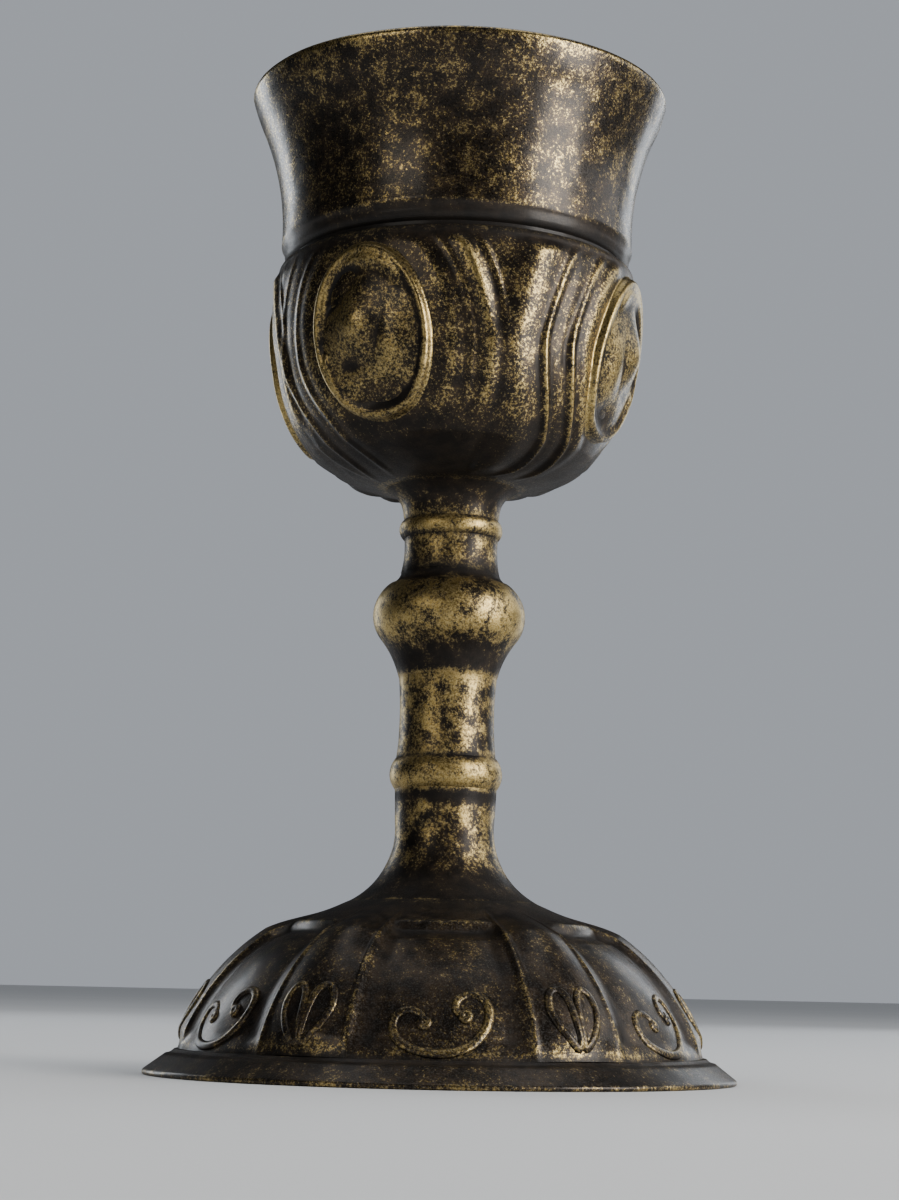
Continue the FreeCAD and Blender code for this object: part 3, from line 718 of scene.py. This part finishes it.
def through(points, steps, closed=False):
    """A smooth curve through given points."""
    points = np.array(points, dtype=float)
    if closed:
        ring = np.concatenate([points[-1:], points, points[:2]])
    else:
        ring = np.concatenate([2 * points[:1] - points[1:2], points, 2 * points[-1:] - points[-2:-1]])
    curve = []
    for a, b, c, d in zip(ring, ring[1:], ring[2:], ring[3:]):
        for t in np.arange(steps) / steps:
            curve.append(0.5 * (
                2 * b + (c - a) * t + (2 * a - 5 * b + 4 * c - d) * t ** 2
                + (3 * b - a - 3 * c + d) * t ** 3
            ))
    if not closed:
        curve.append(points[-1])
    return np.array(curve)


def laid_wire(skin, azimuth, height, path, half_width, rise, closed=False, sides=12):
    """Vertices and faces of a half-round wire laid on a skin along a flat path."""
    travel = skin.travel_at(height)
    if closed:
        along = np.roll(path, -1, axis=0) - np.roll(path, 1, axis=0)
    else:
        along = np.gradient(path, axis=0)
    along = along / np.linalg.norm(along, axis=1, keepdims=True)
    beside = np.stack([-along[:, 1], along[:, 0]], axis=1)
    around = np.radians(np.arange(sides) * 360.0 / sides)
    width = np.broadcast_to(half_width, len(path))
    right = path[:, :1] + beside[:, :1] * width[:, None] * np.cos(around)
    up = path[:, 1:] + beside[:, 1:] * width[:, None] * np.cos(around)
    lift = width[:, None] / width.max() * rise * np.sin(around)
    turned, down = skin.develop(right, up, azimuth, travel)
    rows = skin.place(turned, down, lift)
    faces = grid_faces(len(rows), sides, closed)
    if not closed:
        faces.append(tuple(range(sides)))
        faces.append(tuple(range(len(rows) * sides - 1, (len(rows) - 1) * sides - 1, -1)))
    return rows.reshape(-1, 3), faces


def joined(parts):
    """One list of vertices and faces from several."""
    vertices = []
    faces = []
    count = 0
    for points, quads in parts:
        vertices.append(points)
        faces += [tuple(index + count for index in quad) for quad in quads]
        count += len(points)
    return np.concatenate(vertices), faces


SCROLL_PATH = [
    (-1.2, -0.3), (-1.45, 0.4), (-2.3, 0.8), (-3.2, 0.4), (-3.5, -0.6), (-3.0, -1.7), (-1.6, -2.5),
    (0.2, -2.7), (1.9, -2.2), (3.1, -1.0), (3.55, 0.4), (3.2, 1.7), (2.2, 2.2), (1.25, 1.7), (1.1, 0.8),
    (1.8, 0.3),
]
LEAF_LOOP = [(0.2, -2.4), (1.3, -1.3), (1.95, 0.4), (1.6, 1.8), (0.85, 2.0), (0.3, 0.8)]
SCROLL_HEIGHT = 4.9
SCROLL_RISE = 0.20
LEAF_HEIGHT = 5.0
LEAF_RISE = 0.17
LEAF_HALF_WIDTH = 0.3
EYE_RADIUS = 0.28
EYE_HALF_WIDTH = 0.3
EYE_POINTS = 16
ORNAMENT_SPACING = 0.15


def ornament(name, parts):
    """One ornament of the foot, from its wires."""
    vertices, faces = joined(parts)
    new_piece(
        f"{name}_finished", vertices, faces, name, ornament_finish,
        spacing=ORNAMENT_SPACING, sharp=70.0,
    )


def scroll(number, azimuth):
    """A C-scroll, thickest at its middle, with a small ring at each end."""
    path = through(SCROLL_PATH, 8)
    share = np.linspace(0, 1, len(path))
    width = 0.26 + 0.12 * np.sin(share * math.pi)
    name = f"foot_scroll_{number}"
    parts = [laid_wire(foot_skin, azimuth, SCROLL_HEIGHT, path, width, SCROLL_RISE)]
    turns = np.radians(np.arange(EYE_POINTS) * 360.0 / EYE_POINTS)
    ring = EYE_RADIUS * np.stack([np.cos(turns), np.sin(turns)], axis=1)
    for eye in (SCROLL_PATH[0], SCROLL_PATH[-1]):
        parts.append(laid_wire(
            foot_skin, azimuth, SCROLL_HEIGHT, ring + eye, EYE_HALF_WIDTH, SCROLL_RISE, closed=True
        ))
    ornament(name, parts)


def leaf(number, azimuth):
    """A pair of loops, mirror images of each other."""
    name = f"foot_leaf_{number}"
    parts = []
    for side in (-1, 1):
        loop = through([(side * x, y) for x, y in LEAF_LOOP], 8, closed=True)
        parts.append(laid_wire(
            foot_skin, azimuth, LEAF_HEIGHT, loop, LEAF_HALF_WIDTH, LEAF_RISE, closed=True
        ))
    ornament(name, parts)


for lobe in range(LOBES):
    scroll(lobe + 1, lobe * LOBE_TURN)
    leaf(lobe + 1, lobe * LOBE_TURN + HALF_LOBE)

# ---------------------------------------------------------------- fastening


def threaded_rod():
    """The rod, threaded at both ends and plain between."""
    low, lower_run_out, upper_run_out, high = 8.2, 13.5, 44.5, 48.5
    pitch, depth, radius, chamfer = 0.5, 0.18, 1.5, 0.35
    # Rows lie close together over the threads and half a millimetre past them.
    plain_low, plain_high = lower_run_out + 0.5, upper_run_out - 0.5
    close, wide = 0.06, 1.0
    count = 48
    heights = np.concatenate([
        np.arange(low, plain_low, close),
        np.arange(plain_low, plain_high, wide),
        np.arange(plain_high, high, close),
        [high],
    ])
    azimuth = np.arange(count) * 360.0 / count
    phase = (heights[:, None] / pitch + azimuth[None, :] / 360.0) % 1.0
    tooth = np.abs(phase * 2 - 1)
    threaded = (heights < lower_run_out) | (heights > upper_run_out)
    reach = np.where(threaded[:, None], radius - depth * tooth, radius - depth)
    ends = np.minimum(heights - low, high - heights)[:, None]
    reach = np.minimum(reach, radius - chamfer + ends)
    turn = np.radians(azimuth)
    rows = np.stack([reach * np.sin(turn), -reach * np.cos(turn), heights[:, None] + 0 * turn], axis=2)
    faces = grid_faces(len(rows), count, False)
    faces.append(tuple(range(count)))
    faces.append(tuple(range(len(rows) * count - 1, (len(rows) - 1) * count - 1, -1)))
    vertices = rows.reshape(-1, 3)
    new_piece("tie_rod_finished", vertices, faces, "tie_rod", brass_finish, 0.2)


def hexagon_nut():
    """A hexagon nut with chamfered corners and a plain bore round the rod."""
    bottom, top = 8.9, 11.3
    bore, crown, corner, chamfer = 1.5, 2.5, 3.2, 0.4
    half_flats = 5.5 / 2
    count = 144
    spacing = 0.12
    azimuth = np.arange(count) * 360.0 / count
    hexagon = half_flats / np.cos(np.radians((azimuth + 30.0) % 60.0 - 30.0))
    outline = [
        (bore, bottom),
        (crown, bottom),
        (corner, bottom + chamfer),
        (corner, top - chamfer),
        (crown, top),
        (bore, top),
        (bore, bottom),
    ]
    rows = []
    for radius, height in outline_points(outline, spacing)[:-1]:
        reach = np.minimum(radius, hexagon)
        turn = np.radians(azimuth)
        rows.append(np.stack([reach * np.sin(turn), -reach * np.cos(turn), height + 0 * turn], axis=1))
    faces = grid_faces(len(rows), count, True)
    vertices = np.concatenate(rows)
    new_piece(
        "clamp_nut_finished", vertices, faces, "clamp_nut", brass_finish,
        spacing=spacing, sharp=25.0,
    )


threaded_rod()
hexagon_nut()
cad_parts["cup_boss"].data.materials.clear()
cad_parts["cup_boss"].data.materials.append(brass_finish)

# ---------------------------------------------------------------- floor, light and camera


def floor_material():
    """A plain pale matt floor, faintly clouded."""
    material = bpy.data.materials.new("pale_floor")
    material.use_nodes = True
    tree = material.node_tree
    shader = tree.nodes["Principled BSDF"]
    place = add(tree, "ShaderNodeTexCoord").outputs["Object"]
    cloud = noise_at(tree, place, 9.0, 3.0, 0.5)
    colour = blend_colours(tree, cloud, (0.56, 0.56, 0.56), (0.61, 0.61, 0.605))
    tree.links.new(colour, shader.inputs["Base Color"])
    shader.inputs["Roughness"].default_value = 0.9
    return material


def make_floor():
    half = 3.0
    corners = [(-half, -half, 0), (half, -half, 0), (half, half, 0), (-half, half, 0)]
    mesh = bpy.data.meshes.new("floor")
    mesh.from_pydata(corners, [], [(0, 1, 2, 3)])
    mesh.materials.append(floor_material())
    floor = bpy.data.objects.new("floor", mesh)
    bpy.context.scene.collection.objects.link(floor)


# Softboxes as (name, place, width, height, watts, colour), in metres, all turned to the cup's middle.
SOFTBOXES = [
    ("key_right", (0.265, -0.140, 0.085), 0.16, 0.28, 1.15, (1.0, 0.98, 0.95)),
    ("side_right", (0.290, 0.078, 0.17), 0.22, 0.12, 0.13, (0.95, 0.97, 1.0)),
    ("back_left", (-0.24, 0.26, 0.07), 0.08, 0.24, 0.28, (0.90, 0.95, 1.0)),
    ("back_right", (0.20, 0.30, 0.09), 0.10, 0.28, 0.22, (0.90, 0.95, 1.0)),
    ("overhead", (0.0, 0.10, 0.65), 0.50, 0.50, 1.0, (0.96, 0.98, 1.0)),
    ("fill_left", (-0.17, -0.25, 0.125), 0.14, 0.10, 0.11, (1.0, 0.96, 0.88)),
]


def softbox(name, place, wide, tall, power, colour):
    """A rectangular light turned to the cup's middle."""
    light = bpy.data.lights.new(name, "AREA")
    light.shape = "RECTANGLE"
    light.size = wide
    light.size_y = tall
    light.energy = power
    light.color = colour
    lamp = bpy.data.objects.new(name, light)
    lamp.location = place
    lamp.rotation_euler = (middle - Vector(place)).to_track_quat("-Z", "Y").to_euler()
    bpy.context.scene.collection.objects.link(lamp)


def make_world():
    """An even room, dimmer in reflections, with a pale backdrop where the camera looks straight at it."""
    world = bpy.data.worlds.new("room")
    world.use_nodes = True
    bpy.context.scene.world = world
    tree = world.node_tree
    tree.nodes.clear()
    path = add(tree, "ShaderNodeLightPath")
    room = add(tree, "ShaderNodeBackground", {"Color": (0.90, 0.94, 1.0, 1.0), "Strength": 0.38})
    mirrored = add(tree, "ShaderNodeBackground", {"Color": (0.80, 0.88, 1.0, 1.0), "Strength": 0.035})
    backdrop = add(tree, "ShaderNodeBackground", {"Color": (0.60, 0.63, 0.68, 1.0), "Strength": 0.54})
    unseen = add(tree, "ShaderNodeMixShader", {
        0: path.outputs["Is Glossy Ray"], 1: room.outputs[0], 2: mirrored.outputs[0],
    })
    mixed = add(tree, "ShaderNodeMixShader", {
        0: path.outputs["Is Camera Ray"], 1: unseen.outputs[0], 2: backdrop.outputs[0],
    })
    output = add(tree, "ShaderNodeOutputWorld")
    tree.links.new(mixed.outputs[0], output.inputs["Surface"])


make_floor()
make_world()
middle = (cad_low + cad_high) / 2
for box in SOFTBOXES:
    softbox(*box)

# The camera stands in front and looks up a little. Lengths are in heights of the cup.
CAMERA_DISTANCE = 2.43
CAMERA_HEIGHT = 0.087
AIM_HEIGHT = 0.475
LENS = 73.0
ROLL = math.radians(1.2)

height = cad_high.z - cad_low.z
camera = bpy.data.objects.new("camera", bpy.data.cameras.new("camera"))
camera.location = (0.0, -CAMERA_DISTANCE * height, CAMERA_HEIGHT * height)
aim = Vector((0.0, 0.0, AIM_HEIGHT * height)) - camera.location
camera.rotation_mode = "QUATERNION"
camera.rotation_quaternion = aim.to_track_quat("-Z", "Y") @ Quaternion((0, 0, 1), ROLL)
camera.data.lens = LENS
camera.data.clip_start = 0.01
bpy.context.scene.collection.objects.link(camera)
bpy.context.scene.camera = camera

# Dark metal reads better with a little more contrast than usual.
bpy.context.scene.view_settings.view_transform = "AgX"
bpy.context.scene.view_settings.look = "AgX - Medium High Contrast"
